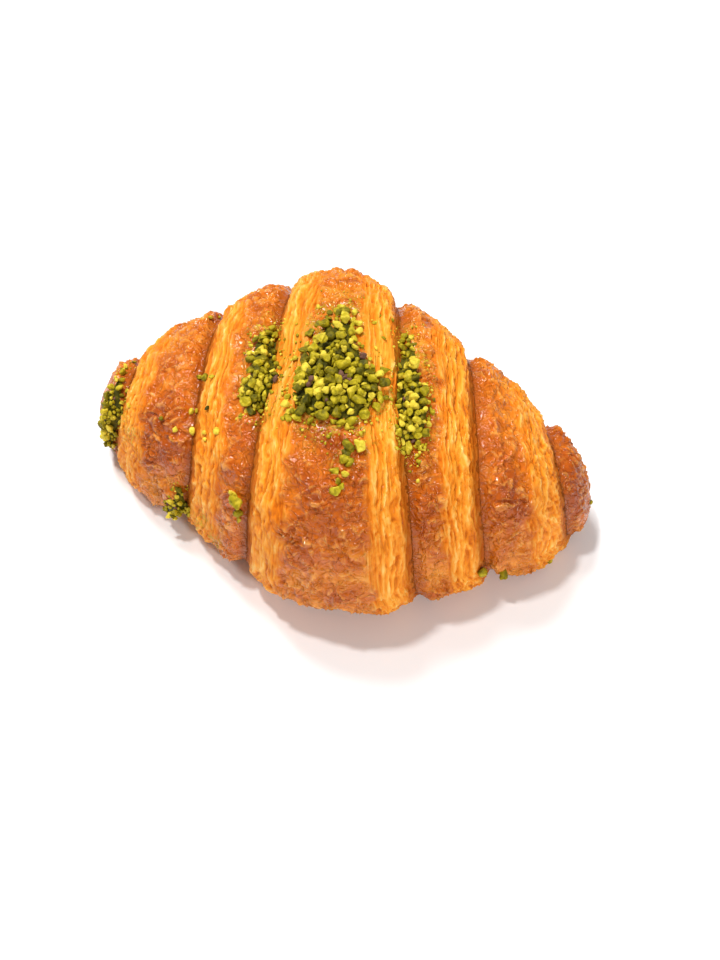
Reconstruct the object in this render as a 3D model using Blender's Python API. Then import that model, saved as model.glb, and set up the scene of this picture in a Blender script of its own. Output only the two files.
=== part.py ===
"""Croissant: a straight, plump roll of seven wraps, with chopped pistachio heaped on its crown.

The dough triangle is rolled along X, so its two edges run round the roll as spirals, one on each side.
Each spiral is a seam: inboard of it lies the cut edge of a wrap, a sloping band, and outboard of it
the skin of the next, lower wrap. Everything is in metres, +Z up; the origin is the middle of the base.
"""

from math import asin, pi

import bmesh
import bpy
import numpy as np

MM = 0.001
NAME = "croissant"

# The hull that the crowns of the wraps touch: station along the roll, how far the crust reaches
# in front of the X axis and behind it, and how high it stands. All in millimetres.
HULL = (
    (-84.0, 0.4, 19.0, 28.5),  # left tip
    (-69.5, 11.6, 27.6, 35.5),  # fourth left wrap
    (-51.5, 25.4, 38.8, 46.0),  # third left wrap
    (-28.5, 41.8, 47.2, 59.5),  # second left wrap
    (2.5, 54.6, 55.6, 73.5),  # middle wrap
    (31.5, 42.0, 43.9, 66.0),  # second right wrap
    (54.5, 26.0, 32.9, 51.5),  # third right wrap
    (74.5, 8.8, 25.6, 34.0),  # fourth right wrap
    (84.0, -0.6, 22.4, 25.5),  # right tip
)
MIDDLE = 2.5 * MM  # station of the middle wrap's centre
TIP = {-1: -83.0 * MM, 1: 83.0 * MM}
TIP_LENGTH = 13.0 * MM  # the stretch over which each end rounds off

# A seam stands SEAM_START from the middle under the base, and steps outward by WRAP_STEP each turn.
SEAM_START = {-1: 8.7 * MM, 1: 8.9 * MM}
WRAP_STEP = {-1: 24.3 * MM, 1: 22.5 * MM}
SEAMS = 3  # on each side
SEAM_SHIFT = {(-1, 3): 3.0 * MM, (1, 3): 2.5 * MM}  # the outer seams lie a little further out
SEAM_BOW = {(-1, 2): 2.8 * MM, (1, 2): 1.8 * MM}  # seams drawn inward above the front, and how far
SEAM_BOW_TURN, SEAM_BOW_SPREAD = 0.67, 0.13
ROLL_SKEW = 0.20  # the wraps lean round Z by this slope, so they cross the roll askew
BAND = 13.0 * MM  # width of the sloping cut edge
SKIN_FALL = {0: 0.34, 1: 0.45}  # share of a wrap's fall that its skin takes: middle wrap, others
CREASE_DEPTH = 2.7 * MM
CREASE_WIDTH = 3.4 * MM
CREASE_GAP = {(-1, 2): 5.0 * MM, (1, 2): 4.0 * MM}  # seams that open at the base, and how deep

# Section of the roll: a superellipse whose widest height is BELLY of the whole, standing on a flat.
SQUARENESS = 2.6
BELLY = 0.37
UNDERCUT = 1.15  # how far the lower half would reach below the base, over its height, if not cut
BASE_ANGLE = -asin((1.0 / UNDERCUT) ** (SQUARENESS / 2.0))
UNEVEN = 0.9 * MM  # slow rise and fall of the hand-rolled surface

# Stations within a wrap, as a share of its width from its inboard seam, and rows round the roll.
MIDDLE_STATIONS = (0.0, 0.13, 0.26, 0.38, 0.54, 0.70, 0.86)
WRAP_STATIONS = (0.0, 0.07, 0.18, 0.32, 0.46, 0.60, 0.75, 0.90)
END_STATIONS = (0.0, 0.08, 0.22, 0.40, 0.58, 0.74, 0.87, 0.95, 0.99)
ROWS = 41

HEAP_GAP = 0.5 * MM  # clearance between the crust and a heap
HEAP_RIM = 0.9 * MM  # thickness of a heap at its edge
HEAP_RINGS, HEAP_SPOKES = 7, 26

# Heaps of chopped pistachio: station on the crown that their seam-wise line passes, angle round the
# roll, half length along the roll, half length round it, greatest thickness.
HEAPS = {
    "pistachio_crown": (3.4 * MM, 0.568 * pi, 13.4 * MM, 19.5 * MM, 5.2 * MM),
    "pistachio_left_groove": (-19.9 * MM, 0.552 * pi, 5.4 * MM, 15.5 * MM, 4.4 * MM),
    "pistachio_right_groove": (24.6 * MM, 0.575 * pi, 4.8 * MM, 18.0 * MM, 3.8 * MM),
    "pistachio_left_end": (-73.0 * MM, 0.780 * pi, 3.6 * MM, 14.5 * MM, 3.6 * MM),
    "pistachio_left_base": (-44.3 * MM, 1.050 * pi, 3.6 * MM, 6.5 * MM, 3.4 * MM),
}


def hull_at(station):
    """Front reach, back reach and height of the hull, on a smooth curve through HULL."""
    rows = np.array(HULL) * MM
    knots = rows[:, 0]
    place = np.clip(np.searchsorted(knots, station) - 1, 0, len(knots) - 2)
    width = knots[place + 1] - knots[place]
    t = np.clip((station - knots[place]) / width, 0.0, 1.0)
    out = []
    for values in rows[:, 1:].T:
        slope = np.gradient(values, knots)
        out.append(
            (2 * t**3 - 3 * t**2 + 1) * values[place]
            + (t**3 - 2 * t**2 + t) * width * slope[place]
            + (3 * t**2 - 2 * t**3) * values[place + 1]
            + (t**3 - t**2) * width * slope[place + 1]
        )
    return out


def smooth(t):
    """0 to 1 with level ends."""
    t = np.clip(t, 0.0, 1.0)
    return t * t * (3.0 - 2.0 * t)


def power(value, exponent):
    """Signed power, for the superellipse."""
    return np.sign(value) * np.abs(value) ** exponent


def seam_distance(side, number, turn):
    """Distance of a seam from the middle, where turn runs 0 under the base to 1 round the roll."""
    bow = SEAM_BOW.get((side, number), 0.0)
    bow = bow * np.exp(-(((turn - SEAM_BOW_TURN) / SEAM_BOW_SPREAD) ** 2))
    shift = SEAM_SHIFT.get((side, number), 0.0)
    return SEAM_START[side] + WRAP_STEP[side] * (number - 1 + turn) + shift - bow


def crust(side, wrap, share, angle):
    """Point of the crust, at a share of a wrap's width and an angle round the roll.

    The angle is 0 at the back, pi / 2 on the crown and pi in front.
    """
    turn = (angle + pi / 2) / (2 * pi)
    end = abs(TIP[side] - MIDDLE)
    inner = seam_distance(side, wrap, turn) if wrap else 0.0 * turn
    last = wrap == SEAMS
    outer = end + 0.0 * turn if last else seam_distance(side, wrap + 1, turn)
    width = outer - inner
    out = inner + width * share
    band_from = 1.0 - BAND / width
    fall = SKIN_FALL[min(wrap, 1)]
    if last:
        stepped = out
    else:
        riser = smooth((share - band_from) / (1.0 - band_from))
        step = np.where(share < band_from, fall * share / band_from, fall + (1.0 - fall) * riser)
        stepped = inner + width * step
    front, back, height = hull_at(MIDDLE + side * stepped)
    low = smooth((0.15 - np.sin(angle)) / 0.9)
    crease = 0.0 * turn
    for number, near, spread in ((wrap, out - inner, 1.0), (wrap + 1, outer - out, 0.6)):
        if 0 < number <= SEAMS:
            depth = CREASE_DEPTH * (1.0 - 0.5 * low) + CREASE_GAP.get((side, number), 0.0) * low**2
            crease = crease + depth * np.exp(-((near / (CREASE_WIDTH * spread)) ** 2))
    cap = np.sqrt(1.0 - np.clip((out - end + TIP_LENGTH) / TIP_LENGTH, 0.0, 1.0) ** 2)
    waves = np.sin(side * out * 95.0 + 2.0 * angle) + np.sin(side * out * 61.0 - 3.0 * angle + 1.3)
    inset = (crease + 0.5 * UNEVEN * waves) * cap
    belly = BELLY * height
    reach = np.maximum((front + back) / 2 * cap - inset, 0.0)
    across = reach * power(np.cos(angle), 2 / SQUARENESS)
    rise = power(np.sin(angle), 2 / SQUARENESS)
    above = (np.maximum(height - inset, belly) - belly) * cap * rise
    below = belly * UNDERCUT * cap * rise
    z = np.maximum(belly + np.where(rise > 0, above, below), 0.0)
    x = MIDDLE + side * out - ROLL_SKEW * across
    y = (back - front) / 2 + across
    return np.stack([x, y, z], -1)


def columns():
    """Side, wrap and share of each column of points, from the left tip to the right tip."""
    right = [(0, s) for s in MIDDLE_STATIONS]
    for wrap in range(1, SEAMS):
        right += [(wrap, s) for s in WRAP_STATIONS]
    right += [(SEAMS, s) for s in END_STATIONS]
    left = [(-1, wrap, share) for wrap, share in reversed(right[1:])]
    return left + [(1, wrap, share) for wrap, share in right]


def grid():
    """The crust's points, one line of them for each column, from the base's back edge to its front."""
    angles = np.linspace(BASE_ANGLE, pi - BASE_ANGLE, ROWS)
    return np.array([crust(side, wrap, share, angles) for side, wrap, share in columns()])


def crust_over(station, angle):
    """Point of the crust on the seam-wise line that passes a station of the crown."""
    side = 1 if station > MIDDLE else -1
    out = abs(station - MIDDLE)
    seams = [0.0] + [seam_distance(side, number, 0.5) for number in range(1, SEAMS + 1)]
    seams.append(abs(TIP[side] - MIDDLE))
    wrap = max(number for number in range(SEAMS + 1) if seams[number] <= out)
    share = (out - seams[wrap]) / (seams[wrap + 1] - seams[wrap])
    return crust(side, wrap, share, np.array([angle]))[0]


def crust_normal(station, angle):
    """Outward unit normal of the crust there, from its points close by."""
    step, turn = 1.2 * MM, 0.03
    along = crust_over(station + step, angle) - crust_over(station - step, angle)
    around = crust_over(station, angle + turn) - crust_over(station, angle - turn)
    out = np.cross(around, along)
    return out / np.linalg.norm(out)


def material(name, colour, roughness, coat=0.0):
    made = bpy.data.materials.new(name)
    made.use_nodes = True
    shader = made.node_tree.nodes["Principled BSDF"]
    shader.inputs["Base Color"].default_value = (*colour, 1.0)
    shader.inputs["Roughness"].default_value = roughness
    shader.inputs["Metallic"].default_value = 0.0
    shader.inputs["Coat Weight"].default_value = coat
    return made


def add_object(name, mesh, finish, collection):
    for polygon in mesh.polygons:
        polygon.use_smooth = True
    mesh.materials.append(finish)
    made = bpy.data.objects.new(name, mesh)
    collection.objects.link(made)
    return made


def closed_mesh(name, build):
    """Mesh from a function that fills a bmesh, with its faces pointing out."""
    work = bmesh.new()
    build(work)
    bmesh.ops.triangulate(work, faces=work.faces[:])
    bmesh.ops.recalc_face_normals(work, faces=work.faces[:])
    mesh = bpy.data.meshes.new(name)
    work.to_mesh(mesh)
    work.free()
    return mesh


def add_pastry(points, finish, collection):
    """The roll itself: a loft through unlike sections, closed by the base and by a point at each tip."""

    def build(work):
        lines = [[work.verts.new(point) for point in line] for line in points]
        for one, two in zip(lines, lines[1:]):
            for row in range(len(one) - 1):
                work.faces.new((one[row], two[row], two[row + 1], one[row + 1]))
            work.faces.new((one[0], one[-1], two[-1], two[0]))
        for line, side in ((lines[0], -1), (lines[-1], 1)):
            middle = crust(side, SEAMS, 1.0, np.array([pi / 2]))[0]
            tip = work.verts.new(middle)
            for row in range(len(line)):
                work.faces.new((line[row], line[(row + 1) % len(line)], tip))

    return add_object("pastry", closed_mesh("pastry", build), finish, collection)


def add_heap(name, heap, finish, collection):
    """A lumpy dome of nuts over the crust, with an uneven edge, and an underside just clear of it."""
    station, angle, half_along, half_round, thick = heap
    ahead = crust_over(station, angle + 0.05) - crust_over(station, angle - 0.05)
    radians = 0.1 / np.linalg.norm(ahead)  # of the roll's angle, for a metre round it

    def place(ring, spoke):
        """Foot, outward normal and thickness at a ring and a spoke of the dome."""
        turn = 2 * pi * spoke / HEAP_SPOKES
        edge = 1.0 + 0.11 * np.sin(3 * turn + 0.6) + 0.08 * np.sin(5 * turn + 2.0)
        spread = ring / HEAP_RINGS
        along = half_along * spread * edge * np.cos(turn)
        around = half_round * spread * edge * np.sin(turn)
        here = (station + along, angle + around * radians)
        lumps = 1.0 + 0.16 * np.sin(1.9 * ring + 0.4) * np.sin(5 * turn + 1.7 * ring)
        depth = HEAP_RIM + (thick - HEAP_RIM) * (1.0 - spread**2.2) * lumps
        return crust_over(*here), crust_normal(*here), depth

    def build(work):
        lids = []
        for top in (True, False):
            rings = []
            for ring in range(HEAP_RINGS + 1):
                line = []
                for spoke in range(HEAP_SPOKES if ring else 1):
                    foot, outward, depth = place(ring, spoke)
                    line.append(work.verts.new(foot + outward * (HEAP_GAP + (depth if top else 0.0))))
                rings.append(line)
            for spoke in range(HEAP_SPOKES):
                after = (spoke + 1) % HEAP_SPOKES
                work.faces.new((rings[0][0], rings[1][spoke], rings[1][after]))
                for one, two in zip(rings[1:], rings[2:]):
                    work.faces.new((one[spoke], two[spoke], two[after], one[after]))
            lids.append(rings[-1])
        for spoke in range(HEAP_SPOKES):
            after = (spoke + 1) % HEAP_SPOKES
            work.faces.new((lids[0][spoke], lids[0][after], lids[1][after], lids[1][spoke]))

    return add_object(name, closed_mesh(name, build), finish, collection)


def main():
    for old in list(bpy.data.objects):
        bpy.data.objects.remove(old)
    collection = bpy.data.collections.new(NAME)
    bpy.context.scene.collection.children.link(collection)
    crust_finish = material("baked_crust", (0.62, 0.25, 0.05), 0.38, coat=0.3)
    nut_finish = material("pistachio", (0.30, 0.32, 0.03), 0.6)
    add_pastry(grid(), crust_finish, collection)
    for name, heap in HEAPS.items():
        add_heap(name, heap, nut_finish, collection)


main()
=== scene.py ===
"""Looks of the croissant: its blistered glazed skin, flaky cut edges and chopped pistachio.

Lengths are in metres unless a name says otherwise; MM turns millimetres into metres.
"""

from itertools import product
from math import asin, cos, pi, radians, sin

import bmesh
import bpy
import numpy as np
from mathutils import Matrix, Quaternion, Vector
from mathutils.bvhtree import BVHTree


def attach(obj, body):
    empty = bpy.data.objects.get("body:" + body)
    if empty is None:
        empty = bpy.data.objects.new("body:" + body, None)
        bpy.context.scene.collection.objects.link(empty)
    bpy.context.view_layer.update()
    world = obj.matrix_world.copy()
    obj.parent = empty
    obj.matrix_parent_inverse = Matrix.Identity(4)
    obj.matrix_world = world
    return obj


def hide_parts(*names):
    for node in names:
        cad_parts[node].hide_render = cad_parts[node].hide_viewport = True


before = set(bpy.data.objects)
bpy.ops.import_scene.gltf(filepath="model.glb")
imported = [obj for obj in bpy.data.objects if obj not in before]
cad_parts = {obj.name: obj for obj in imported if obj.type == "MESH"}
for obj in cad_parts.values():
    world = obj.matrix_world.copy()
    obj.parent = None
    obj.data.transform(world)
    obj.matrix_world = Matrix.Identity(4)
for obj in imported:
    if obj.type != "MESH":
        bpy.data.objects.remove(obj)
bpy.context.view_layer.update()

MM = 0.001

# ---------------------------------------------------------------- the roll, as the CAD part has it

HULL = (
    (-84.0, 0.4, 19.0, 28.5),  # left tip: station, reach in front and behind, height
    (-69.5, 11.6, 27.6, 35.5),
    (-51.5, 25.4, 38.8, 46.0),
    (-28.5, 41.8, 47.2, 59.5),
    (2.5, 54.6, 55.6, 73.5),  # middle wrap
    (31.5, 42.0, 43.9, 66.0),
    (54.5, 26.0, 32.9, 51.5),
    (74.5, 8.8, 25.6, 34.0),
    (84.0, -0.6, 22.4, 25.5),  # right tip
)
MIDDLE = 2.5 * MM
TIP = {-1: -83.0 * MM, 1: 83.0 * MM}
TIP_LENGTH = 13.0 * MM
SEAM_START = {-1: 8.7 * MM, 1: 8.9 * MM}
WRAP_STEP = {-1: 24.3 * MM, 1: 22.5 * MM}
SEAMS = 3
SEAM_SHIFT = {(-1, 3): 3.0 * MM, (1, 3): 2.5 * MM}
SEAM_BOW = {(-1, 2): 2.8 * MM, (1, 2): 1.8 * MM}
SEAM_BOW_TURN, SEAM_BOW_SPREAD = 0.67, 0.13
ROLL_SKEW = 0.20
BAND = 13.0 * MM
SKIN_FALL = {0: 0.34, 1: 0.45}
CREASE_DEPTH = 2.7 * MM
CREASE_WIDTH = 3.4 * MM
CREASE_GAP = {(-1, 2): 5.0 * MM, (1, 2): 4.0 * MM}
SQUARENESS = 2.6
BELLY = 0.37
UNDERCUT = 1.15
BASE_ANGLE = -asin((1.0 / UNDERCUT) ** (SQUARENESS / 2.0))
UNEVEN = 0.9 * MM
ROLL_TURN = 24.0 * MM / (2 * pi)  # how far a seam runs along the roll for each radian round it

COLUMN_STEP = 0.38 * MM  # spacing of the fine mesh along the roll
ROWS = 620  # round the roll, base left out
BASE_ROWS = 40
FACES = 196_000  # the fine mesh is thinned to this, where it is flattest

MEAN_RADIUS = 44.0  # of the roll in mm, which turns angles round it into lengths

HEAPS = {  # station on crown, angle, half length along, half length round, thickness, coarseness
    "pistachio_crown": (3.4 * MM, 0.568 * pi, 13.4 * MM, 19.5 * MM, 5.2 * MM, 1.0),
    "pistachio_left_groove": (-19.9 * MM, 0.552 * pi, 5.4 * MM, 15.5 * MM, 4.4 * MM, 1.0),
    "pistachio_right_groove": (24.6 * MM, 0.575 * pi, 4.8 * MM, 18.0 * MM, 3.8 * MM, 0.9),
    "pistachio_left_end": (-73.0 * MM, 0.780 * pi, 3.6 * MM, 14.5 * MM, 3.6 * MM, 0.8),
    "pistachio_left_base": (-44.3 * MM, 1.050 * pi, 3.6 * MM, 6.5 * MM, 3.4 * MM, 0.8),
}

HEAP_FADE = 2.2  # how fast a heap thins towards its edge
CORE_RISE = 0.45  # height of a heap's core, as a share of the heap's thickness
CORE_RINGS, CORE_SPOKES = 9, 30
PILE_CELL = 0.4  # mm, of the grid that keeps a heap's height while chunks are dropped on it
CHUNK_RADII = [0.75, 1.05, 1.4, 1.75, 2.1]  # mm
CHUNK_SHARES = [0.20, 0.28, 0.27, 0.17, 0.08]
CHUNK_TRIES, MOST_MISSES, MOST_CHUNKS = 10, 60, 900
PURPLE_SHARE, PURPLE_TINT = 0.035, 1.4  # nuts with a purplish skin; the paint reads a tint past 1 as that
DUST_RADII = [0.25, 0.4, 0.6, 0.85]  # mm
DUST_SHARES = [0.4, 0.33, 0.2, 0.07]
DUST_DENSITY = 170 / (33 * MM)  # specks for each metre of a heap's half sizes
SEAT_REACH = 7.0 * MM  # how far from the smooth crust the finished one is looked for

VIEW_WIDTH, VIEW_HEIGHT = 720, 960  # pixels
LENS, SENSOR = 50.34, 36.0  # of the camera, in mm
CAMERA_PLACE = (81.04 * MM, -281.9 * MM, 334.1 * MM)
CAMERA_DOWN, CAMERA_TURN = 47.77, 14.2  # degrees below level, and to the left of straight ahead
FOCAL = 1342.4  # of the camera, in pixels
LOOSE = (  # single nuts: pixel across and down in the camera's view, radius in mm, tint
    (350, 445, 2.0, 0.35), (360, 446, 1.8, 0.95), (344, 452, 1.6, 0.30), (343, 460, 1.7, 0.60),
    (351, 462, 1.3, 0.45), (336, 470, 1.3, 0.60), (346, 473, 1.2, 0.80), (338, 481, 1.1, 0.50),
    (336, 490, 1.7, 0.65), (343, 486, 1.0, 0.60), (237, 500, 2.1, 0.60), (235, 493, 1.2, 0.80),
    (238, 512, 1.5, 0.45), (239, 519, 0.9, 0.70), (480, 572, 1.8, 0.55), (503, 574, 1.7, 0.50),
    (549, 561, 0.9, 0.60), (200, 378, 1.1, 0.50), (206, 379, 1.3, 0.40), (213, 377, 0.8, 0.60),
    (191, 412, 1.0, 0.80), (198, 411, 0.9, 0.70), (176, 430, 0.9, 0.90), (193, 431, 1.2, 0.90),
    (205, 433, 1.0, 0.90), (206, 439, 0.8, 0.90), (217, 432, 1.3, 0.80), (208, 408, 0.8, 0.05),
    (161, 418, 0.9, 0.40), (130, 405, 1.0, 0.80), (405, 338, 1.2, 0.60), (210, 318, 0.8, 0.70),
    (219, 318, 0.7, 0.70), (590, 502, 0.8, 0.50), (420, 461, 0.9, 0.60), (402, 448, 0.9, 0.55),
)


def hull_at(station):
    """Front reach, back reach and height of the hull, on a smooth curve through HULL."""
    rows = np.array(HULL) * MM
    knots = rows[:, 0]
    place = np.clip(np.searchsorted(knots, station) - 1, 0, len(knots) - 2)
    width = knots[place + 1] - knots[place]
    t = np.clip((station - knots[place]) / width, 0.0, 1.0)
    out = []
    for values in rows[:, 1:].T:
        slope = np.gradient(values, knots)
        out.append(
            (2 * t**3 - 3 * t**2 + 1) * values[place]
            + (t**3 - 2 * t**2 + t) * width * slope[place]
            + (3 * t**2 - 2 * t**3) * values[place + 1]
            + (t**3 - t**2) * width * slope[place + 1]
        )
    return out


def smooth(t):
    """0 to 1 with level ends."""
    t = np.clip(t, 0.0, 1.0)
    return t * t * (3.0 - 2.0 * t)


def power(value, exponent):
    """Signed power, for the superellipse."""
    return np.sign(value) * np.abs(value) ** exponent


def seam_distance(side, number, turn):
    """Distance of a seam from the middle, where turn runs 0 under the base to 1 round the roll."""
    bow = SEAM_BOW.get((side, number), 0.0)
    bow = bow * np.exp(-(((turn - SEAM_BOW_TURN) / SEAM_BOW_SPREAD) ** 2))
    shift = SEAM_SHIFT.get((side, number), 0.0)
    return SEAM_START[side] + WRAP_STEP[side] * (number - 1 + turn) + shift - bow


def crust(side, wrap, share, angle):
    """Point of the crust and its distances from the seams beside it and from the middle."""
    turn = (angle + pi / 2) / (2 * pi)
    end = abs(TIP[side] - MIDDLE)
    inner = seam_distance(side, wrap, turn) if wrap else 0.0 * turn
    last = wrap == SEAMS
    outer = end + 0.0 * turn if last else seam_distance(side, wrap + 1, turn)
    width = outer - inner
    out = inner + width * share
    band_from = 1.0 - BAND / width
    fall = SKIN_FALL[min(wrap, 1)]
    if last:
        stepped = out
    else:
        riser = smooth((share - band_from) / (1.0 - band_from))
        step = np.where(share < band_from, fall * share / band_from, fall + (1.0 - fall) * riser)
        stepped = inner + width * step
    front, back, height = hull_at(MIDDLE + side * stepped)
    low = smooth((0.15 - np.sin(angle)) / 0.9)
    crease = 0.0 * turn
    for number, near, spread in ((wrap, out - inner, 1.0), (wrap + 1, outer - out, 0.6)):
        if 0 < number <= SEAMS:
            depth = CREASE_DEPTH * (1.0 - 0.5 * low) + CREASE_GAP.get((side, number), 0.0) * low**2
            crease = crease + depth * np.exp(-((near / (CREASE_WIDTH * spread)) ** 2))
    cap = np.sqrt(1.0 - np.clip((out - end + TIP_LENGTH) / TIP_LENGTH, 0.0, 1.0) ** 2)
    waves = np.sin(side * out * 95.0 + 2.0 * angle) + np.sin(side * out * 61.0 - 3.0 * angle + 1.3)
    inset = (crease + 0.5 * UNEVEN * waves) * cap
    belly = BELLY * height
    reach = np.maximum((front + back) / 2 * cap - inset, 0.0)
    across = reach * power(np.cos(angle), 2 / SQUARENESS)
    rise = power(np.sin(angle), 2 / SQUARENESS)
    above = (np.maximum(height - inset, belly) - belly) * cap * rise
    below = belly * UNDERCUT * cap * rise
    z = np.maximum(belly + np.where(rise > 0, above, below), 0.0)
    x = MIDDLE + side * out - ROLL_SKEW * across
    y = (back - front) / 2 + across
    return np.stack([x, y, z], -1), out - inner, outer - out, out


# ---------------------------------------------------------------- noise

def scramble(cell, seed):
    """A 32-bit number for each whole-number cell."""
    cell = cell.astype(np.int64)
    h = cell[..., 0] * 73856093 ^ cell[..., 1] * 19349663 ^ cell[..., 2] * 83492791
    h ^= seed * 2654435761
    h &= 0xFFFFFFFF
    h = ((h ^ (h >> 15)) * 2246822519) & 0xFFFFFFFF
    h = ((h ^ (h >> 13)) * 3266489917) & 0xFFFFFFFF
    return h ^ (h >> 16)


def scattered(cell, seed):
    """Three numbers from 0 to 1 for each cell."""
    h = scramble(cell, seed)
    return np.stack([(h & 0x3FF), (h >> 10) & 0x3FF, (h >> 20) & 0x3FF], -1) / 1023.0


def noise(points, seed):
    """Gradient noise, about -1 to 1, with features one unit across."""
    cell = np.floor(points)
    part = points - cell
    ease = part**3 * (part * (part * 6 - 15) + 10)
    total = np.zeros(points.shape[:-1])
    for corner in product((0, 1), repeat=3):
        corner = np.array(corner)
        slope = scattered(cell + corner, seed) * 2 - 1
        weight = np.prod(np.where(corner, ease, 1 - ease), -1)
        total += weight * np.sum(slope * (part - corner), -1)
    return total * 1.7


def rough(points, seed, octaves=3):
    """Noise with finer noise on it."""
    total, size = 0.0, 1.0
    for octave in range(octaves):
        total = total + size * noise(points * 2.0**octave, seed + octave)
        size *= 0.5
    return total


def ridges(points, seed):
    """1 on thin winding lines, falling to 0 between them."""
    return 1.0 - np.clip(np.abs(noise(points, seed)) * 2.2, 0.0, 1.0)


def cells(points, seed):
    """Distance to the nearest and to the second nearest of scattered points, and a number for the nearest."""
    home = np.floor(points)
    near = np.full(points.shape[:-1], 9.0)
    second = near.copy()
    name = np.zeros_like(near)
    for offset in product((-1, 0, 1), repeat=3):
        cell = home + np.array(offset)
        spot = scattered(cell, seed)
        away = np.sqrt(np.sum((cell + spot - points) ** 2, -1))
        closer = away < near
        second = np.where(closer, near, np.minimum(second, away))
        name = np.where(closer, spot[..., 0], name)
        near = np.where(closer, away, near)
    return near, second, name


# ---------------------------------------------------------------- camera, light and floor

def add_camera():
    """The camera, in front of the object and above it."""
    made = bpy.data.cameras.new("camera")
    made.lens, made.sensor_width = LENS, SENSOR
    camera = bpy.data.objects.new("camera", made)
    camera.location = CAMERA_PLACE
    camera.rotation_euler = (radians(90.0 - CAMERA_DOWN), 0.0, radians(CAMERA_TURN))
    bpy.context.collection.objects.link(camera)
    bpy.context.scene.camera = camera


def add_light(name, size, watts, place):
    """A round soft light aimed at the object."""
    made = bpy.data.lights.new(name, "AREA")
    made.shape, made.size, made.energy = "DISK", size, watts
    light = bpy.data.objects.new(name, made)
    light.location = place
    aim = -light.location
    light.rotation_euler = aim.to_track_quat("-Z", "Y").to_euler()
    bpy.context.collection.objects.link(light)


def add_studio():
    """Three lights, a pale world and a plain white floor."""
    add_light("key", 0.48, 18.0, (-0.50, 0.45, 1.45))
    add_light("glint", 0.12, 8.0, (-0.30, -0.10, 1.30))
    add_light("front", 0.16, 7.5, (0.75, -0.85, 0.75))
    world = bpy.data.worlds.new("studio")
    bpy.context.scene.world = world
    world.use_nodes = True
    world.node_tree.nodes["Background"].inputs["Color"].default_value = (1.0, 1.0, 1.0, 1.0)
    world.node_tree.nodes["Background"].inputs["Strength"].default_value = 0.32
    bpy.ops.mesh.primitive_plane_add(size=6.0, location=(0.0, 0.0, -0.0002))
    floor = bpy.context.object
    floor.name = "floor"
    paint = bpy.data.materials.new("floor_white")
    paint.use_nodes = True
    shader = paint.node_tree.nodes["Principled BSDF"]
    shader.inputs["Base Color"].default_value = (0.9, 0.9, 0.9, 1.0)
    shader.inputs["Roughness"].default_value = 0.6
    floor.data.materials.append(paint)


# ---------------------------------------------------------------- the pastry

def pastry_columns():
    """Side, wrap and share of each fine column, left tip to right tip."""
    right = []
    for wrap in range(SEAMS + 1):
        inner = seam_distance(1, wrap, 0.5) if wrap else 0.0
        outer = seam_distance(1, wrap + 1, 0.6) if wrap < SEAMS else TIP[1] - MIDDLE
        count = int(1.3 * (outer - inner) / COLUMN_STEP)
        shares = np.arange(count) / count
        if wrap == SEAMS:
            shares = np.sin(shares * pi / 2)
        right += [(1, wrap, share) for share in shares]
    left = [(-1, wrap, share) for _, wrap, share in reversed(right[1:])]
    return left + right


def build_pastry():
    """The whole crust as one closed fine mesh, with its relief and the marks for its colours."""
    angles = np.linspace(BASE_ANGLE, pi - BASE_ANGLE, ROWS)
    keys = pastry_columns()
    lines = [crust(side, wrap, share, angles) for side, wrap, share in keys]
    points = np.array([line[0] for line in lines])
    inner = np.array([line[1] for line in lines])
    outer = np.array([line[2] for line in lines])
    out = np.array([line[3] for line in lines])
    side = np.array([key[0] for key in keys])[:, None]
    wrap = np.array([key[1] for key in keys])[:, None] + 0 * inner
    normal = np.cross(np.gradient(points, axis=1), np.gradient(points, axis=0))
    normal /= np.maximum(np.linalg.norm(normal, axis=-1, keepdims=True), 1e-12)
    relief, marks = crust_relief(points, side, wrap, inner, outer, out, angles)
    points = points + normal * relief[..., None]
    points[..., 2] = np.maximum(points[..., 2], 0.0)
    # the base: straight rows from the front edge back to the back edge
    count = len(keys)
    steps = np.arange(1, BASE_ROWS + 1) / (BASE_ROWS + 1)
    base = points[:, -1:, :] * (1 - steps[None, :, None]) + points[:, :1, :] * steps[None, :, None]
    ring = np.concatenate([points, base], 1)
    total = ring.shape[1]
    tips = [crust(s, SEAMS, 1.0, np.array([pi / 2]))[0][0] for s in (-1, 1)]
    verts = np.concatenate([ring.reshape(-1, 3), np.array(tips)])
    index = np.arange(count * total).reshape(count, total)
    after = np.roll(index, -1, axis=1)
    quads = np.stack([index[:-1], after[:-1], after[1:], index[1:]], -1).reshape(-1, 4)
    fans = []
    for line, tip, flip in ((0, count * total, True), (count - 1, count * total + 1, False)):
        pair = [index[line], after[line]]
        if flip:
            pair.reverse()
        fans.append(np.stack([*pair, np.full(total, tip)], -1))
    fans = np.concatenate(fans)
    mesh = bpy.data.meshes.new("pastry_crust")
    mesh.from_pydata(verts.tolist(), [], quads.tolist() + fans.tolist())
    mesh.update()
    for name, values in marks.items():
        fill = np.concatenate([values, np.repeat(values[:, -1:], BASE_ROWS, 1)], 1)
        data = np.concatenate([fill.reshape(-1), [0.5, 0.5]]).astype(np.float32)
        mesh.attributes.new(name, "FLOAT", "POINT").data.foreach_set("value", data)
    made = bpy.data.objects.new("pastry_crust", mesh)
    bpy.context.collection.objects.link(made)
    return made


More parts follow.
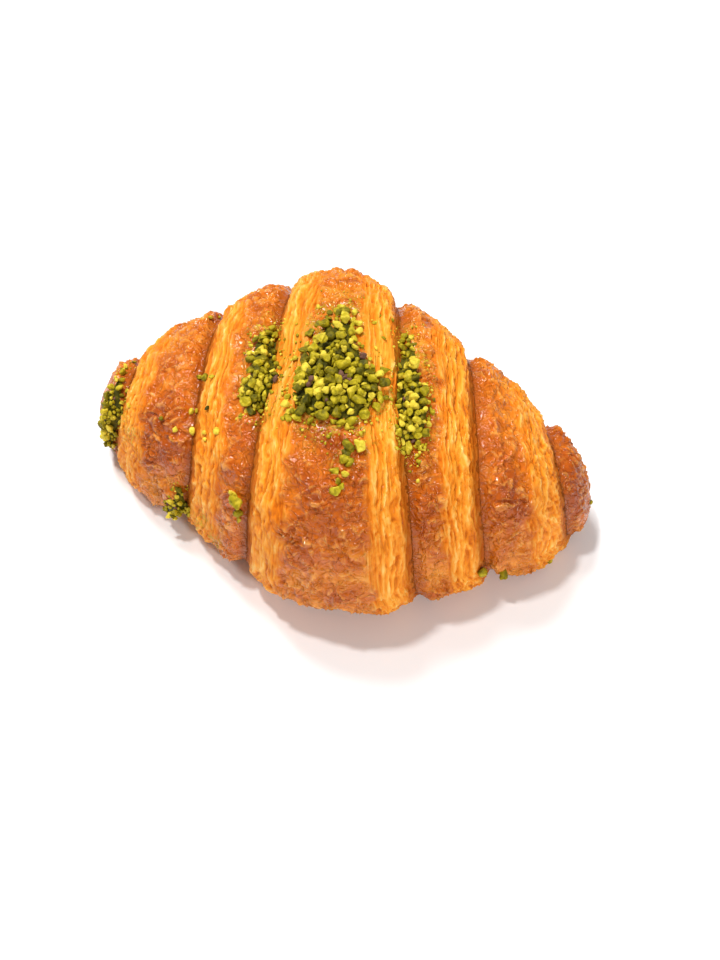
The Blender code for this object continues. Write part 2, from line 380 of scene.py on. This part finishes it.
def skin_relief(mm, rear):
    """Height in mm of the glazed skin: puffs with sharp valleys, winding ridges, folds and broad dents."""
    warp = np.stack([noise(mm / 5.0, 11), noise(mm / 5.0, 12), noise(mm / 5.0, 13)], -1)
    stretch = np.array([5.6, 3.3, 3.3])
    near, second, _ = cells(mm / stretch + 0.4 * warp, 21)
    puffs = np.clip((second - near) / 0.5, 0.0, 1.0) ** 0.6
    near, second, _ = cells(mm / 2.2 + 0.35 * warp, 22)
    fine = np.clip((second - near) / 0.45, 0.0, 1.0) ** 0.7
    worms = ridges(mm / 2.9 + 0.9 * warp, 31) ** 3
    folds = ridges(mm / 6.5 + 0.6 * warp, 32) ** 4
    dents = rough(mm / 9.0, 41, 2)
    patch = smooth(0.5 + 0.9 * noise(mm / 8.0, 42))  # where the small wrinkles are strongest
    skin = (0.55 + 0.65 * rear) * puffs + 0.20 * fine * (0.3 + patch) + 0.75 * worms * (0.15 + 1.1 * patch)
    skin = skin + 0.75 * folds + 1.05 * dents
    return skin, puffs, fine, worms, folds, dents


def band_relief(to_outer, around, side, kind):
    """Strands, threads, thin layers and pits of a cut edge, which run along the seam."""

    def along(across, length, seed):
        return noise(np.stack([to_outer / across, around / length, kind], -1), seed)

    sway = 0.9 * noise(np.stack([to_outer / 9.0, around / 11.0, side + 0 * to_outer], -1), 51)
    strands = ridges(np.stack([(to_outer + sway) / 1.55, around / 11.0, kind], -1), 52) ** 1.5
    threads = ridges(np.stack([(to_outer + sway) / 1.0, around / 4.5, kind], -1), 53)
    layer = (to_outer + sway + 1.2 * along(9.0, 14.0, 54)) / 3.1
    layer = layer - np.floor(layer)
    pits = np.clip(along(1.3, 2.4, 55) - 0.35, 0.0, 1.0)
    return sway, strands, threads, layer, pits


def crust_relief(points, side, wrap, inner, outer, out, angles):
    """Height of the fine relief over the smooth crust, and the marks that its colours follow."""
    mm = points / MM
    turned = angles[None, :] + 0 * out
    height = mm[..., 2]
    to_inner = np.where(wrap > 0, inner, 1.0) / MM
    to_outer = np.where(wrap < SEAMS, outer, 1.0) / MM
    band = 1.0 - smooth((to_outer - 10.5 - 2.6 * noise(mm / 6.0, 3)) / 3.5)
    nearest = np.minimum(to_inner, to_outer)
    # Nearness to a seam: the relief sinks there, and the paint darkens it as painted shade.
    crease = np.exp(-((nearest / 1.9) ** 2))
    rear = smooth((np.cos(turned) + 0.35) / 0.9)  # 1 on the back, 0 low in front
    skin, puffs, fine, worms, folds, dents = skin_relief(mm, rear)
    around = turned * MEAN_RADIUS
    kind = 7.3 * side + wrap + 0 * to_outer  # a number of its own for each wrap
    sway, strands, threads, layer, pits = band_relief(to_outer, around, side, kind)
    flakes = 0.42 * strands + 0.26 * threads + 0.36 * (1.0 - layer) ** 1.5 + 0.6 * dents - 0.9 * pits
    flakes = flakes + rear * (0.45 * puffs + 0.3 * worms) + 0.25 * fine
    rim = np.exp(-(((to_outer - 3.2) / 1.6) ** 2)) * np.where(wrap < SEAMS, 1.0, 0.0)
    flakes = flakes + 0.35 * rim
    relief = (skin * (1 - band) + flakes * band) * (1.0 - 0.7 * crease) - 0.75 - 0.5 * crease
    relief *= smooth(height / 2.0)
    fade = smooth((abs(TIP[1] - MIDDLE) - out) / (5.0 * MM))
    relief *= MM * (0.35 + 0.65 * fade)
    # How high the small relief stands; the paint turns it into painted light on the crests and painted shade
    # in the hollows, gaps and pits.
    crest_shading = (0.4 * puffs + 0.25 * fine + 0.45 * worms + 0.3 * folds) * (1 - band)
    crest_shading = crest_shading + (0.42 * strands + 0.25 * threads + 0.2 * (1 - layer) + 0.15 * fine - 0.8 * pits) * band
    # Darkness of the skin colour: a baked tone that varies, lighter within 16 mm of the floor, darker on the
    # end wraps.
    bake_and_shade = 0.52 + 0.30 * dents + 0.12 * noise(mm / 22.0, 61)
    bake_and_shade = bake_and_shade - 0.25 * (1 - smooth(height / 16.0)) + np.where(wrap == SEAMS, 0.22, 0.0)
    # Painted shade: the upper front of the roll, turned away from the key light, is made darker.
    front = smooth((0.2 - np.cos(turned)) / 0.8) * smooth((np.sin(turned) + 0.1) / 0.5)
    bake_and_shade = bake_and_shade + 0.22 * front - 0.06
    marks = {"band": band, "crest_shading": crest_shading, "bake_and_shade": bake_and_shade, "crease": crease}
    marks["heart"] = np.exp(-(((to_outer - 6.5) / 3.2) ** 2))  # the palest middle of a band
    marks["flow_x"] = (to_outer + sway) / 10.0
    marks["flow_y"] = around / 10.0
    marks["dust"] = dusting(out * side + MIDDLE, turned, mm)
    return relief, marks


def dusting(station, turned, mm):
    """How much nut dust lies on the crust: 1 under a heap, falling off round it."""
    most = np.zeros_like(turned)
    shift = station - ROLL_TURN * (turned - pi / 2)
    for place, angle, along, round_it, _, _ in HEAPS.values():
        length = (shift - place) / (along + 3.0 * MM)
        breadth = (turned - angle) * MEAN_RADIUS * MM / (round_it + 4.0 * MM)
        most = np.maximum(most, np.exp(-1.4 * (length**2 + breadth**2) ** 2))
    return most * smooth(0.5 + 0.9 * noise(mm / 5.0, 71))


class Paint:
    """A Principled material and short ways to wire its nodes."""

    def __init__(self, name):
        self.material = bpy.data.materials.new(name)
        self.material.use_nodes = True
        self.nodes = self.material.node_tree.nodes
        self.links = self.material.node_tree.links
        self.shader = self.nodes["Principled BSDF"]

    def put(self, socket, value):
        """Links a node's output to a socket, or sets the socket to a plain value."""
        if isinstance(value, bpy.types.NodeSocket):
            self.links.new(value, socket)
        elif isinstance(value, tuple) and len(value) == 3 and socket.type == "RGBA":
            socket.default_value = (*value, 1.0)
        else:
            socket.default_value = value

    def mark(self, name):
        """A number that the mesh carries at each point."""
        node = self.nodes.new("ShaderNodeAttribute")
        node.attribute_name = name
        return node.outputs["Fac"]

    def place(self):
        """Place on the object, in metres."""
        return self.nodes.new("ShaderNodeTexCoord").outputs["Object"]

    def join(self, x, y):
        node = self.nodes.new("ShaderNodeCombineXYZ")
        for socket, value in zip(node.inputs, (x, y)):
            self.put(socket, value)
        return node.outputs["Vector"]

    def noise(self, vector, scale, detail=2.0, distortion=0.0):
        node = self.nodes.new("ShaderNodeTexNoise")
        self.put(node.inputs["Vector"], vector)
        node.inputs["Scale"].default_value = scale
        node.inputs["Detail"].default_value = detail
        node.inputs["Distortion"].default_value = distortion
        return node.outputs["Fac"]

    def cells(self, vector, scale):
        """Distance to the nearest of scattered points."""
        node = self.nodes.new("ShaderNodeTexVoronoi")
        self.put(node.inputs["Vector"], vector)
        node.inputs["Scale"].default_value = scale
        return node.outputs["Distance"]

    def math(self, operation, a, b=0.0):
        node = self.nodes.new("ShaderNodeMath")
        node.operation = operation
        for socket, value in zip(node.inputs, (a, b)):
            self.put(socket, value)
        return node.outputs["Value"]

    def ramp(self, value, stops):
        """A colour for each value, from pairs of place and colour."""
        node = self.nodes.new("ShaderNodeValToRGB")
        self.put(node.inputs["Fac"], value)
        elements = node.color_ramp.elements
        while len(elements) < len(stops):
            elements.new(0.5)
        for element, (at, colour) in zip(elements, stops):
            element.position, element.color = at, (*colour, 1.0)
        return node.outputs["Color"]

    def level(self, value, low, high, bottom=0.0, top=1.0):
        """Carries the range from low to high over to the range from bottom to top."""
        node = self.nodes.new("ShaderNodeMapRange")
        for socket, number in zip(node.inputs, (value, low, high, bottom, top)):
            self.put(socket, number)
        return node.outputs["Result"]

    def mix(self, factor, a, b, blend="MIX"):
        node = self.nodes.new("ShaderNodeMix")
        node.data_type, node.blend_type = "RGBA", blend
        for name, kind, value in (("Factor", "VALUE", factor), ("A", "RGBA", a), ("B", "RGBA", b)):
            socket = next(s for s in node.inputs if s.name == name and s.type == kind)
            self.put(socket, value)
        return next(s for s in node.outputs if s.type == "RGBA")

    def bump(self, height, distance):
        node = self.nodes.new("ShaderNodeBump")
        node.inputs["Distance"].default_value = distance
        self.put(node.inputs["Height"], height)
        return node.outputs["Normal"]


def crust_paint():
    """Egg-washed skin and matt flaky cut edges, with painted shade in the creases, in the relief's hollows
    and on the upper front, painted light on the crests, and a green dust of nuts.
    """
    paint = Paint("baked_crust")
    place = paint.place()
    band, crest_shading, crease = paint.mark("band"), paint.mark("crest_shading"), paint.mark("crease")
    flow = paint.join(paint.mark("flow_x"), paint.math("MULTIPLY", paint.mark("flow_y"), 0.14))
    threads = paint.noise(flow, 11.0, 3.0, 0.4)
    blot = paint.noise(place, 160.0, 3.0, 0.5)
    fine = paint.noise(place, 700.0, 3.0, 0.3)
    # The skin's darkness, which holds painted shade on the upper front.
    bake_and_shade = paint.math("ADD", paint.mark("bake_and_shade"), paint.level(blot, 0.3, 0.7, -0.09, 0.09))
    skin = paint.ramp(
        bake_and_shade,
        [
            (0.10, (0.84, 0.290, 0.024)),
            (0.40, (0.68, 0.178, 0.007)),
            (0.65, (0.53, 0.108, 0.003)),
            (0.95, (0.38, 0.064, 0.002)),
        ],
    )
    # Painted light and shade on the skin: darker in the hollows of the relief, paler orange on its crests.
    lit = paint.math("ADD", crest_shading, paint.level(fine, 0.3, 0.7, -0.05, 0.05))
    hollow_shade = paint.ramp(lit, [(0.1, (0.66, 0.55, 0.48)), (0.5, (1.0, 1.0, 1.0)), (1.0, (1.0, 1.0, 1.0))])
    skin = paint.mix(0.55, skin, hollow_shade, "MULTIPLY")
    skin = paint.mix(paint.level(lit, 0.55, 1.1, 0.0, 0.65), skin, (0.95, 0.43, 0.08))
    # Colour of the cut edges: paler on the strand crests and darker in the gaps and pits between strands,
    # painted light and shade, with a tone that also varies along the threads.
    strand = paint.math("ADD", crest_shading, paint.level(threads, 0.3, 0.7, -0.25, 0.25))
    flakes = paint.ramp(
        strand,
        [
            (0.0, (0.62, 0.150, 0.006)),
            (0.30, (0.86, 0.250, 0.012)),
            (0.60, (0.97, 0.385, 0.040)),
            (0.95, (1.0, 0.62, 0.17)),
        ],
    )
    pale = paint.mix(paint.mark("heart"), (0.86, 0.72, 0.60), (1.0, 1.0, 1.0))
    flakes = paint.mix(1.0, flakes, pale, "MULTIPLY")
    colour = paint.mix(band, skin, flakes)
    # Painted shade in the creases between the wraps.
    colour = paint.mix(paint.math("MULTIPLY", crease, 0.85), colour, (0.34, 0.070, 0.004))
    dust = paint.math("MULTIPLY", paint.mark("dust"), paint.level(paint.noise(place, 900.0, 2.0), 0.46, 0.56))
    colour = paint.mix(paint.math("MULTIPLY", dust, 0.75), colour, (0.42, 0.36, 0.025))
    paint.put(paint.shader.inputs["Base Color"], colour)
    shine = paint.level(band, 0.0, 1.0, 0.30, 0.52)
    shine = paint.math("ADD", shine, paint.level(fine, 0.3, 0.7, -0.08, 0.08))
    paint.put(paint.shader.inputs["Roughness"], shine)
    paint.put(paint.shader.inputs["Coat Weight"], paint.level(band, 0.1, 0.9, 0.60, 0.08))
    paint.shader.inputs["Coat Roughness"].default_value = 0.09
    paint.shader.inputs["Coat IOR"].default_value = 1.5
    paint.shader.inputs["Specular IOR Level"].default_value = 0.05
    worm = paint.level(paint.noise(place, 330.0, 1.5, 1.2), 0.35, 0.65, -1.0, 1.0)
    worm = paint.math("POWER", paint.math("SUBTRACT", 1.0, paint.math("ABSOLUTE", worm)), 1.6)
    blister = paint.level(paint.cells(place, 480.0), 0.0, 0.45, 1.0, 0.0)
    small = paint.math("ADD", paint.math("MULTIPLY", worm, 0.36), paint.math("MULTIPLY", blister, 0.22))
    small = paint.math("ADD", small, paint.math("MULTIPLY", fine, 0.05))
    both = paint.mix(band, small, paint.math("MULTIPLY", threads, 1.4))
    wrinkled = paint.bump(both, 0.00075)
    paint.put(paint.shader.inputs["Normal"], wrinkled)
    paint.put(paint.shader.inputs["Coat Normal"], wrinkled)
    return paint.material


# ---------------------------------------------------------------- the nuts

def crust_over(station, angle):
    """Point of the smooth crust on the seam-wise line that passes a station of the crown."""
    side = 1 if station > MIDDLE else -1
    out = abs(station - MIDDLE)
    seams = [0.0] + [seam_distance(side, number, 0.5) for number in range(1, SEAMS + 1)]
    seams.append(abs(TIP[side] - MIDDLE))
    wrap = max(number for number in range(SEAMS + 1) if seams[number] <= out)
    share = (out - seams[wrap]) / (seams[wrap + 1] - seams[wrap])
    return crust(side, wrap, share, np.array([angle]))[0][0]


def crust_normal(station, angle):
    """Outward unit normal of the smooth crust there."""
    step, turn = 1.2 * MM, 0.03
    along = crust_over(station + step, angle) - crust_over(station - step, angle)
    around = crust_over(station, angle + turn) - crust_over(station, angle - turn)
    out = np.cross(around, along)
    return out / np.linalg.norm(out)


def seat(tree, station, angle):
    """Point of the finished crust under a place of the smooth one, and the outward normal there."""
    foot, normal = crust_over(station, angle), crust_normal(station, angle)
    hit = tree.ray_cast(Vector(foot + normal * SEAT_REACH), Vector(-normal), 2 * SEAT_REACH)[0]
    return (foot if hit is None else np.array(hit)), normal


def nut_shapes(kinds, divisions):
    """Chopped chunks about two units across: lumps with a few flat cut faces."""
    work = bmesh.new()
    bmesh.ops.create_icosphere(work, subdivisions=divisions, radius=1.0)
    ball = np.array([v.co[:] for v in work.verts])
    faces = np.array([[v.index for v in f.verts] for f in work.faces])
    work.free()
    luck = np.random.default_rng(5)
    shapes = []
    for _ in range(kinds):
        shift = luck.uniform(0, 90, 3)
        bulge = 0.42 * noise(ball * 0.9 + shift, 81) + 0.16 * noise(ball * 2.4 + shift, 82)
        lump = ball * (1.0 + bulge)[:, None]
        lump *= luck.uniform((0.85, 0.75, 0.65), (1.35, 1.0, 0.9))
        for _ in range(luck.integers(2, 5)):
            way = luck.normal(size=3)
            way /= np.linalg.norm(way)
            beyond = np.maximum(lump @ way - luck.uniform(0.45, 0.75), 0.0)
            lump = lump - 0.85 * beyond[:, None] * way
        shapes.append(lump)
    return shapes, faces


class Bits:
    """Many small pieces gathered into one mesh."""

    def __init__(self, shapes, faces, seed):
        self.shapes, self.faces = shapes, faces
        self.luck = np.random.default_rng(seed)
        self.verts, self.polys, self.tints, self.count = [], [], [], 0

    def add(self, centre, radius, normal, tint, flat=0.8):
        """One piece, turned at random and a little flattened against what it lies on."""
        lump = self.shapes[self.luck.integers(len(self.shapes))]
        spin = Quaternion(self.luck.normal(size=4)).normalized().to_matrix()
        lump = lump @ np.array(spin).T * radius
        lump = lump - (1.0 - flat) * (lump @ normal)[:, None] * normal
        self.verts.append(lump + centre)
        self.polys.append(self.faces + self.count)
        self.tints.append(np.full(len(lump), tint))
        self.count += len(lump)

    def piece(self, name, paint, extra=None):
        """The gathered pieces, and an extra one tinted dark as painted shade if there is one, as an object on
        the root body.
        """
        if extra is not None:
            self.verts.append(extra[0])
            self.polys.append(extra[1] + self.count)
            # The core is tinted dark olive: painted shade in the gaps between the chunks.
            self.tints.append(np.full(len(extra[0]), 0.12))
        mesh = bpy.data.meshes.new(name)
        mesh.from_pydata(np.concatenate(self.verts).tolist(), [], np.concatenate(self.polys).tolist())
        tint = mesh.attributes.new("tint", "FLOAT", "POINT")
        tint.data.foreach_set("value", np.concatenate(self.tints).astype(np.float32))
        mesh.shade_smooth()
        mesh.materials.append(paint)
        made = bpy.data.objects.new(name, mesh)
        bpy.context.collection.objects.link(made)
        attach(made, "root")
        return made


def tint_of(luck):
    """A nut's tint: 0 olive to 1 yellow-green, and now and then a purplish skin."""
    if luck.random() < PURPLE_SHARE:
        return PURPLE_TINT
    return float(np.clip(luck.normal(0.62, 0.22), 0.1, 1.0))


def turn_for_length(station, angle):
    """The roll's angle for each metre round it at a place."""
    ahead = crust_over(station, angle + 0.05) - crust_over(station, angle - 0.05)
    return 0.1 / np.linalg.norm(ahead)


def heap_edge(turn):
    """How far a heap's uneven outline reaches in a direction, where 1 is its ellipse."""
    return 1.0 + 0.11 * np.sin(3 * turn + 0.6) + 0.08 * np.sin(5 * turn + 2.0)


def drop_chunks(bits, heap, tree, turn_for, seed):
    """Drops chunks where the heap lacks most, until it is as thick as its CAD solid."""
    station, angle, half_along, half_round, thick, coarse = heap
    luck = bits.luck
    size_u, size_v = half_along / MM * 1.3, half_round / MM * 1.3
    steps = (np.arange(-size, size, PILE_CELL) for size in (size_u, size_v))
    u, v = np.meshgrid(*steps, indexing="ij")
    edge = heap_edge(np.arctan2(v / half_round, u / half_along))
    edge = edge * (1.0 + 0.12 * noise(np.stack([u / 3.0, v / 3.0, 0 * u], -1), seed))
    spread = np.hypot(u / half_along, v / half_round) * MM / edge
    lumps = 0.7 * noise(np.stack([u / 4.0, v / 4.0, 0 * u], -1), seed + 1)
    target = thick / MM * (1.0 - np.clip(spread, 0.0, 1.0) ** HEAP_FADE) + lumps
    target = np.where(spread < 1.0, np.maximum(target, 0.9), 0.0)
    core = CORE_RISE * thick / MM * (1.0 - np.clip(spread / 0.9, 0, 1) ** 2)
    pile = np.where(spread < 0.9, core, 0.0)
    inside = np.argwhere(spread < 1.0)
    missed = 0
    while missed < MOST_MISSES and len(bits.verts) < MOST_CHUNKS:
        radius = coarse * luck.choice(CHUNK_RADII, p=CHUNK_SHARES)
        best = None
        for row, column in inside[luck.integers(len(inside), size=CHUNK_TRIES)]:
            pu, pv = u[row, column], v[row, column]
            near = np.hypot(u - pu, v - pv) < 0.75 * radius
            rest = 0.5 * pile[near].max() + 0.5 * pile[near].mean()
            room = target[row, column] - rest
            if best is None or room > best[0]:
                best = (room, pu, pv, rest)
        room, pu, pv, rest = best
        if room < 0.55 * radius:
            missed += 1
            continue
        away = np.hypot(u - pu, v - pv)
        dome = rest + 0.55 * radius + np.sqrt(np.maximum(radius**2 - away**2, 0.0)) * 0.8
        pile = np.where(away < 0.9 * radius, np.maximum(pile, dome), pile)
        foot, normal = seat(tree, station + pu * MM, angle + pv * MM * turn_for)
        bits.add(foot + normal * (rest + 0.5 * radius) * MM, radius * MM, normal, tint_of(luck))


def heap_core(heap, tree, turn_for):
    """Corners and triangles of a low dome that closes the gaps between the chunks."""
    station, angle, half_along, half_round, thick, _ = heap
    corners = []
    for ring in range(CORE_RINGS + 1):
        for spoke in range(CORE_SPOKES):
            way = 2 * pi * spoke / CORE_SPOKES
            reach = ring / CORE_RINGS * 0.86 * heap_edge(way)
            along = station + half_along * reach * cos(way)
            foot, normal = seat(tree, along, angle + half_round * reach * sin(way) * turn_for)
            rise = CORE_RISE * thick * (1.0 - (ring / CORE_RINGS) ** 2)
            if ring == CORE_RINGS:
                rise -= 0.5 * MM
            corners.append(foot + normal * rise)
    index = np.arange(len(corners)).reshape(CORE_RINGS + 1, CORE_SPOKES)
    after = np.roll(index, -1, axis=1)
    sides = [
        np.stack([index[:-1], after[:-1], after[1:]], -1),
        np.stack([index[:-1], after[1:], index[1:]], -1),
    ]
    return np.array(corners), np.concatenate(sides).reshape(-1, 3)[:, ::-1]


def heap_of_nuts(name, heap, tree, shapes, faces, paint, seed):
    """The chunks and the core of a heap, in place of its CAD solid."""
    turn_for = turn_for_length(heap[0], heap[1])
    bits = Bits(shapes, faces, seed)
    drop_chunks(bits, heap, tree, turn_for, seed)
    made = bits.piece(name + "_nuts", paint, heap_core(heap, tree, turn_for))
    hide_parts(name)


def nut_paint():
    """Moist chopped pistachio, olive to yellow-green by each piece's tint."""
    paint = Paint("pistachio")
    place = paint.place()
    tint = paint.mark("tint")
    mottle = paint.noise(place, 650.0, 3.0, 0.4)
    fine = paint.noise(place, 2400.0, 2.0)
    value = paint.math("ADD", tint, paint.level(mottle, 0.3, 0.7, -0.22, 0.22))
    flesh = paint.ramp(
        value,
        [
            (0.0, (0.050, 0.048, 0.002)),
            (0.35, (0.175, 0.140, 0.004)),
            (0.65, (0.43, 0.335, 0.009)),
            (1.0, (0.80, 0.62, 0.060)),
        ],
    )
    colour = paint.mix(paint.level(tint, 1.15, 1.25), flesh, (0.16, 0.075, 0.05))
    paint.put(paint.shader.inputs["Base Color"], colour)
    paint.put(paint.shader.inputs["Roughness"], paint.level(fine, 0.3, 0.7, 0.42, 0.62))
    paint.shader.inputs["Specular IOR Level"].default_value = 0.12
    height = paint.math("ADD", mottle, paint.math("MULTIPLY", fine, 0.35))
    paint.put(paint.shader.inputs["Normal"], paint.bump(height, 0.0004))
    return paint.material


def in_sight(tree, across, down):
    """Where a pixel of the camera's view meets the crust or what it stands on, and the normal there."""
    turn = bpy.context.scene.camera.rotation_euler.to_matrix()
    start = bpy.context.scene.camera.location
    way = (turn @ Vector((across - VIEW_WIDTH / 2, VIEW_HEIGHT / 2 - down, -FOCAL))).normalized()
    hit, normal, _, _ = tree.ray_cast(start, way)
    if hit is None:
        hit, normal = start - way * (start.z / way.z), Vector((0.0, 0.0, 1.0))
    return np.array(hit), np.array(normal)


def add_nuts(pastry):
    """The five heaps, the single nuts and the dust round the heaps."""
    corners = [v.co for v in pastry.data.vertices]
    tree = BVHTree.FromPolygons(corners, [p.vertices for p in pastry.data.polygons])
    paint = nut_paint()
    shapes, faces = nut_shapes(20, 3)
    for seed, (name, heap) in enumerate(HEAPS.items()):
        heap_of_nuts(name, heap, tree, shapes, faces, paint, 100 + seed)
    loose = Bits(shapes, faces, 7)
    for across, down, radius, tint in LOOSE:
        foot, normal = in_sight(tree, across, down)
        loose.add(foot + normal * radius * 0.5 * MM, radius * MM, normal, tint)
    loose.piece("pistachio_loose", paint)
    shapes, faces = nut_shapes(10, 1)
    dust = Bits(shapes, faces, 8)
    luck = dust.luck
    for station, angle, along, round_it, _, _ in HEAPS.values():
        turn_for = turn_for_length(station, angle)
        for _ in range(int(DUST_DENSITY * (along + round_it))):
            way = luck.uniform(0, 2 * pi)
            far = 1.0 + abs(luck.normal(0.0, 0.22))
            turned = angle + round_it * far * sin(way) * turn_for
            foot, normal = seat(tree, station + along * far * cos(way), turned)
            radius = luck.choice(DUST_RADII, p=DUST_SHARES) * MM
            dust.add(foot + normal * radius * 0.4, radius, normal, luck.uniform(0.45, 1.0))
    dust.piece("pistachio_dust", paint)


def thin(made, faces):
    """Thins a mesh to about this many triangles, where it is flattest."""
    cut = made.modifiers.new("thin", "DECIMATE")
    triangles = sum(len(p.vertices) - 2 for p in made.data.polygons)
    cut.ratio = faces / triangles
    cut.use_collapse_triangulate = True
    applied = bpy.data.meshes.new_from_object(made.evaluated_get(bpy.context.evaluated_depsgraph_get()))
    made.modifiers.clear()
    made.data = applied


def main():
    """Camera and studio, the pastry, and the nuts that lie on it."""
    bpy.context.scene.view_settings.view_transform = "Standard"
    add_camera()
    add_studio()
    pastry = build_pastry()
    thin(pastry, FACES)
    pastry.data.shade_smooth()
    pastry.data.materials.append(crust_paint())
    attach(pastry, "root")
    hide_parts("pastry")
    add_nuts(pastry)


main()
